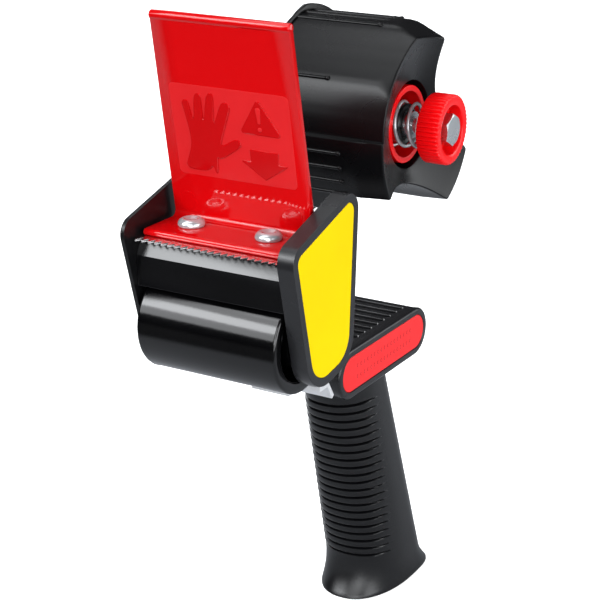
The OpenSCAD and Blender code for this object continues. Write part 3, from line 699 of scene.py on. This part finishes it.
# Roller. A drum of glossy black plastic with hollow ends, moulded with thin rims and an
# inner tube for the two pale bushes, which turn on a fixed steel axle.
roller_black = finish("roller_black", (0.001, 0.001, 0.0012), (0.0015, 0.0015, 0.0018), 0.13,
                      grain=900, smudge=0.05, bump=0.02, gloss=0.5)
low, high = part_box("roller")
half = high.x * 1000
outer = (high.z - low.z) * 500
bush_low, bush_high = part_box("roller_bush_right")
inner = (bush_high.z - bush_low.z) * 500 + 0.02
rim_thick, hollow_depth = 4.4, 9
rim = outer - rim_thick
profile = [(inner, -half + 0.6)]
for side in (-1, 1):
    end = [(inner, 0.4), (inner + 0.4, 0), (inner + 2.6, 0), (inner + 3, 0.4), (inner + 3.2, hollow_depth),
           (rim - 0.6, hollow_depth), (rim, hollow_depth - 0.6), (rim + 0.2, 0.5), (rim + 0.5, 0.1),
           (rim + 0.9, 0), (outer - 0.8, 0), (outer - 0.3, 0.2), (outer - 0.05, 0.6), (outer, 1.1)]
    run = [(r, side * (half - d)) for r, d in end]
    profile += run if side < 0 else run[::-1]
profile.append((inner, half - 0.6))
drum = turned("tape_roller", profile + [profile[0]], (0, roller_y, roller_z), "X", around=128)
stands_for(drum, "roller", "black_plastic", roller_black, "roller")

# Hub. A black moulding with three lobes that hold the tape core, two scoops between them
# and one closed side in two flats. It has a stop flange at the far end, fine grip ribs with
# rounded ends, a lead-in at the top and a dished end for the brake.
hub_y, hub_z = -12.913, 191.0
hub_left, hub_right = -27.4, 26.5
hub_r, lobe_r, hole_r, axle_hole_r = 38.3, 37.7, 16.2, 7.0
dish_depth, hub_floor, lip_round, straight_end = 9.2, 3.0, 0.9, 12.5
flange_r, flange_width, flange_step, flange_blend = 40.08, 2.0, 0.9, 9
lead_turn, lead_length, lead_slope = 79, 14, math.tan(math.radians(25))
tip_drop, tip_from, tip_run = 1.8, 12, 13
closed_from, closed_to = 100, 178.2
flats = ((closed_from, 0), (102, 0.5), (112, 1.3), (123, 1.7), (134, 1.5), (143, 0.9),
         (147, 1.0), (154, 1.6), (163, 2.3), (177.6, 3.0), (closed_to, 0))
scoops = ((256.5, 43, 21.68), (381.5, 47, 20.3))


def hub_reach(turn, far):
    """The radius of the hub's sharp outline at an angle in degrees and a distance along the axis."""
    reach = lobe_r
    for middle, half, valley in scoops:
        off = (turn - middle + 180) % 360 - 180
        if abs(off) < half:
            away = (lobe_r ** 2 - valley ** 2) / (2 * (lobe_r * math.cos(math.radians(half)) - valley))
            side = away * math.sin(math.radians(off))
            reach = away * math.cos(math.radians(off)) - math.sqrt((away - valley) ** 2 - side ** 2)
    for (start, deep), (end, deeper) in zip(flats, flats[1:]):
        if start <= turn < end:
            reach = lobe_r - deep - (deeper - deep) * (turn - start) / (end - start)
    reach = min(reach, lobe_r - tip_drop * max(0, far - hub_right + tip_from) / tip_run)
    lean_in = math.cos(math.radians(turn - lead_turn))
    if far > hub_right - lead_length and lean_in > 0.3:
        reach = min(reach, (lobe_r - lead_slope * (far - hub_right + lead_length)) / lean_in)
    return reach


def hub_skin(turn, far):
    """The same radius, with the corners of lobes, scoops and flats rounded off."""
    soft = 0.2 if 175 < turn < 181 else 1.0
    return sum(hub_reach((turn + soft * k) % 360, far) for k in (-1, -0.5, 0, 0.5, 1)) / 5


def hub_section(turn):
    """The hub's section at an angle, as points (distance along the axis, radius)."""
    slope = dish_depth / (hub_r - hole_r)
    dish_far = hub_right - dish_depth
    end = 20.0
    for _ in range(12):
        end = dish_far + slope * (hub_skin(turn, end) - hole_r)
    lip = Vector((end, hub_skin(turn, end)))
    before = Vector((end - lip_round, hub_skin(turn, end - lip_round)))
    after = lip - Vector((slope, 1)).normalized() * lip_round
    root, face = hub_skin(turn, 0), hub_left + flange_width
    points = [(face, root)]
    points += [(far, hub_skin(turn, far)) for far in (-16, -6, 0, 6, 10, 12, straight_end)]
    for k in (0.06, 0.15, 0.3, 0.45, 0.6, 0.75, 0.9):
        far = straight_end + (end - straight_end - lip_round) * k
        points.append((far, hub_skin(turn, far)))
    for k in (0, 0.15, 0.3, 0.45, 0.6, 0.8, 1):
        spot = (1 - k) ** 2 * before + 2 * k * (1 - k) * lip + k * k * after
        points.append((spot.x, spot.y))
    inner = Vector((dish_far + 0.5 * slope, hole_r + 0.5))
    for k in (0.2, 0.4, 0.6, 0.8, 1):
        spot = after.lerp(inner, k)
        points.append((spot.x, spot.y))
    points += [(dish_far - 0.05, hole_r + 0.12), (dish_far - 0.5, hole_r), (hub_floor, hole_r),
               (hub_floor, axle_hole_r), (hub_left, axle_hole_r)]
    rim = root + flange_step
    closed = max(0, closed_from - turn, turn - closed_to)
    if closed:
        rim = lobe_r + flange_step + (flange_r - lobe_r - flange_step) * min(1, closed / flange_blend)
    points += [(hub_left, rim - 0.38), (hub_left + 0.1, rim - 0.1), (hub_left + 0.4, rim), (face - 0.4, rim),
               (face - 0.1, rim - 0.1), (face, rim - 0.38), (face, root)]
    return points


turns = sorted([float(k) for k in range(360)] + [177.3, 177.6, 177.8, 178.2, 178.4, 178.7])
columns = []
for turn in turns:
    c, s = math.cos(math.radians(turn)), math.sin(math.radians(turn))
    columns.append([(far, hub_y + r * c, hub_z + r * s) for far, r in hub_section(turn)])
hub = wrap("tape_hub", [list(ring) for ring in zip(*columns)])
web = [(10, -15.4), (35.3, -15.4), (35.3, -13.4), (10, -13.4)]
parts = [hub, turned("hub_web", web, (0, hub_y, hub_z), "X", around=96)]
rib_r, rib_proud, rib_start, rib_pitch = 0.7, 0.6, -26, 8.5
places = [(lobe + k * rib_pitch + 2.5, 9.5) for lobe in (86, 196, 317) for k in (-1.5, -0.5, 0.5, 1.5)]
places.append((145.5, 1.0))
for turn, end in places:
    out = hub_reach(turn % 360, 0) + rib_proud - rib_r
    spot = (0, hub_y + out * math.cos(math.radians(turn)), hub_z + out * math.sin(math.radians(turn)))
    rib = [(0, rib_start), (rib_r, rib_start), (rib_r, end - 1.9), (0.78, end - 1.5), (0.92, end - 1.1),
           (0.92, end - 0.7), (0.75, end - 0.25), (0.45, end - 0.05), (0, end)]
    parts.append(turned("hub_rib", rib, spot, "X", around=20))
joined(parts)
hub_black = finish("hub_black", (0.0018, 0.0018, 0.0021), (0.0026, 0.0026, 0.003), 0.27,
                   grain=1500, bump=0.05, gloss=0.2)
stands_for(hub, "hub", "black_plastic", hub_black, "hub")


# Brake. A moulded red cup pressed against the hub by a plated spring, and a red knob with 48
# grip ribs, which turns with a zinc bolt and squeezes the spring. Both have six small ribs
# inside, and the cup has a black sealing ring.
def inner_rib(name, size, far, out, turn):
    """A small rib inside the cup or the knob, at an angle in degrees round the hub's axis."""
    bpy.ops.object.select_all(action="DESELECT")
    bpy.ops.mesh.primitive_cube_add(size=1)
    piece = bpy.context.object
    piece.name = name
    bpy.ops.transform.resize(value=Vector(size) / 1000)
    bpy.ops.transform.translate(value=(far / 1000, (hub_y + out) / 1000, hub_z / 1000))
    bpy.ops.transform.rotate(value=math.radians(turn), orient_axis="X",
                             center_override=(0, hub_y / 1000, hub_z / 1000))
    bpy.ops.object.transform_apply(location=True, rotation=True, scale=True)
    return piece


knob_red = finish("knob_red", (0.80, 0.002, 0.004), (0.86, 0.003, 0.005), 0.22,
                  grain=1200, bump=0.03, gloss=0.3)
cup = rounded("brake_cup", "brake_cup_red", 0.3)
stands_for(cup, "frame", "red_plastic", knob_red, "brake_cup")
low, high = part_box("brake_cup")
cup_low, cup_high = low.x * 1000, high.x * 1000
for index in range(6):
    spoke = inner_rib("cup_spoke_%d" % index, (5, 2.5, 1.2), cup_low + 5, 11.2, 60 * index + 35)
    stands_for(spoke, "frame", "red_plastic", knob_red)
ring = [(5.1, cup_high - 1.3), (7.6, cup_high - 1.3), (7.6, cup_high - 0.5), (7.3, cup_high - 0.2),
        (5.6, cup_high - 0.2), (5.1, cup_high - 0.6), (5.1, cup_high - 1.3)]
seal = turned("brake_seal", ring, (0, hub_y, hub_z), "X")
stands_for(seal, "frame", "black_plastic", hub_black)

low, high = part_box("tension_knob")
knob_low, knob_high, knob_r = low.x * 1000, high.x * 1000, (high.z - low.z) * 500
recess, bore, knob_ribs, knob_rib_depth = knob_low + 3.0, 3.1, 48, 0.8
rings = []
for radius, far, ribbed in (
        (bore, knob_low, 0), (knob_r - 1.4, knob_low, 0), (knob_r - 0.8, knob_low + 0.2, 0.4),
        (knob_r, knob_low + 1.0, 1), (knob_r, knob_high - 0.7, 1), (knob_r - 0.12, knob_high - 0.3, 1),
        (knob_r - 0.4, knob_high - 0.07, 0.7), (knob_r - 0.9, knob_high, 0), (9.5, knob_high, 0),
        (9.1, knob_high - 0.15, 0), (8.9, knob_high - 0.6, 0), (8.75, recess + 0.5, 0), (8.3, recess, 0),
        (bore, recess, 0), (bore, knob_low, 0)):
    ring = []
    for index in range(8 * knob_ribs):
        a = 2 * math.pi * index / (8 * knob_ribs)
        wave = 0.5 - 0.5 * math.cos(knob_ribs * a)
        r = radius - ribbed * knob_rib_depth * wave ** 1.8
        ring.append((far, hub_y + r * math.cos(a), hub_z + r * math.sin(a)))
    rings.append(ring)
knob = wrap("brake_knob", rings)
stands_for(knob, "knob", "red_plastic", knob_red, "tension_knob")
for index in range(6):
    rib = inner_rib("knob_rib_%d" % index, (1.6, 3.0, 0.9), recess + 0.6, 7.4, 60 * index + 20)
    stands_for(rib, "knob", "red_plastic", knob_red)


# Bolt. A zinc-plated hexagon head that sits in the knob and is turned off round its outer
# corners, on a plain shank that runs through the knob and the washer.
def hexagon(name, across, low, high, centre):
    """A hexagon head along X with its corners turned off at the outer end."""
    bpy.ops.object.select_all(action="DESELECT")
    bpy.ops.mesh.primitive_cylinder_add(vertices=6, radius=across / 1000, depth=(high - low) / 1000,
                                        location=((low + high) / 2000, centre[0] / 1000, centre[1] / 1000),
                                        rotation=(0, math.pi / 2, 0))
    piece = bpy.context.object
    piece.name = name
    bpy.ops.transform.rotate(value=math.radians(30), orient_axis="X",
                             center_override=(0, centre[0] / 1000, centre[1] / 1000))
    bpy.ops.object.transform_apply(location=True, rotation=True, scale=True)
    flat = across * math.cos(math.radians(30))
    slope = (across - flat + 0.3) * 0.55
    profile = [(0, low), (across + 0.2, low), (across + 0.2, high - slope), (flat - 0.1, high), (0, high)]
    turning = turned(name + "_turning", profile, (0, *centre), "X", around=96)
    bpy.ops.object.select_all(action="DESELECT")
    piece.select_set(True)
    bpy.context.view_layer.objects.active = piece
    cut = piece.modifiers.new("cut", "BOOLEAN")
    cut.operation = "INTERSECT"
    cut.solver = "EXACT"
    cut.object = turning
    bpy.ops.object.modifier_apply(modifier="cut")
    bpy.data.objects.remove(turning)
    bpy.ops.object.shade_smooth_by_angle(angle=math.radians(25))
    return piece


bolt_zinc = finish("bolt_zinc", (0.68, 0.71, 0.73), (0.76, 0.79, 0.81), 0.26,
                   grain=300, smudge=0.15, bump=0.03, metal=1.0)
low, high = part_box("knob_bolt")
tip = low.x * 1000
head_r, shank_r, chamfer, seat = 6.0, 3.0, 0.4, recess + 0.2
bolt = hexagon("brake_bolt_head", head_r, recess, high.x * 1000, (hub_y, hub_z))
profile = [(0, tip), (shank_r - chamfer, tip), (shank_r, tip + chamfer), (shank_r, seat), (0, seat)]
joined([bolt, turned("brake_bolt_shank", profile, (0, hub_y, hub_z), "X", around=48)])
stands_for(bolt, "knob", "zinc", bolt_zinc, "knob_bolt")

# Spring. Three turns of plated wire between the cup's floor and the washer under the
# knob, a little narrower at the knob. The knob squeezes it in use; here it keeps one length.
low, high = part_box("tension_spring")
coils, wire_r, spring_r, taper, steps = 3, 0.7, 9.2, 0.9, 48
first, last = low.x * 1000 + wire_r, high.x * 1000 - wire_r
across = Vector((1, 0, 0))
rings = []
for index in range(coils * steps + 1):
    t = index / (coils * steps)
    a = 2 * math.pi * coils * t
    mean = spring_r - wire_r - taper * t
    centre = Vector((first + (last - first) * t, hub_y + mean * math.cos(a), hub_z + mean * math.sin(a)))
    out = Vector((0, math.cos(a), math.sin(a)))
    rings.append([tuple(centre + wire_r * (math.cos(b) * out + math.sin(b) * across))
                  for b in (2 * math.pi * k / 12 for k in range(12))])
spring = wrap("brake_spring", rings)
capped(spring)
stands_for(spring, "frame", "chrome", chrome, "tension_spring")
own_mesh(spring)

# Axles, bushes and fasteners. Turned and pressed steel: bright screws, axles and bushes, a
# blackened clip, disc and bracket screw, and a zinc-plated rivet, nut and washer. They keep
# the shape of their solids.
steel = finish("bright_steel", (0.55, 0.56, 0.58), (0.66, 0.67, 0.69), 0.25,
               grain=400, smudge=0.2, bump=0.04, metal=1.0)
dark_steel = finish("blackened_steel", (0.06, 0.06, 0.065), (0.09, 0.09, 0.095), 0.35, metal=1.0)
painted(steel, "cover_screw_bar", "cover_screw_ear", "bar_screw_left", "handle_bolt")
painted(steel, "roller_axle", "roller_bush_left", "roller_bush_right", "hub_axle", "hub_bush")
painted(dark_steel, "bracket_screw", "axle_clip", "friction_disc")
painted(zinc, "bracket_rivet", "axle_nut", "spring_washer")
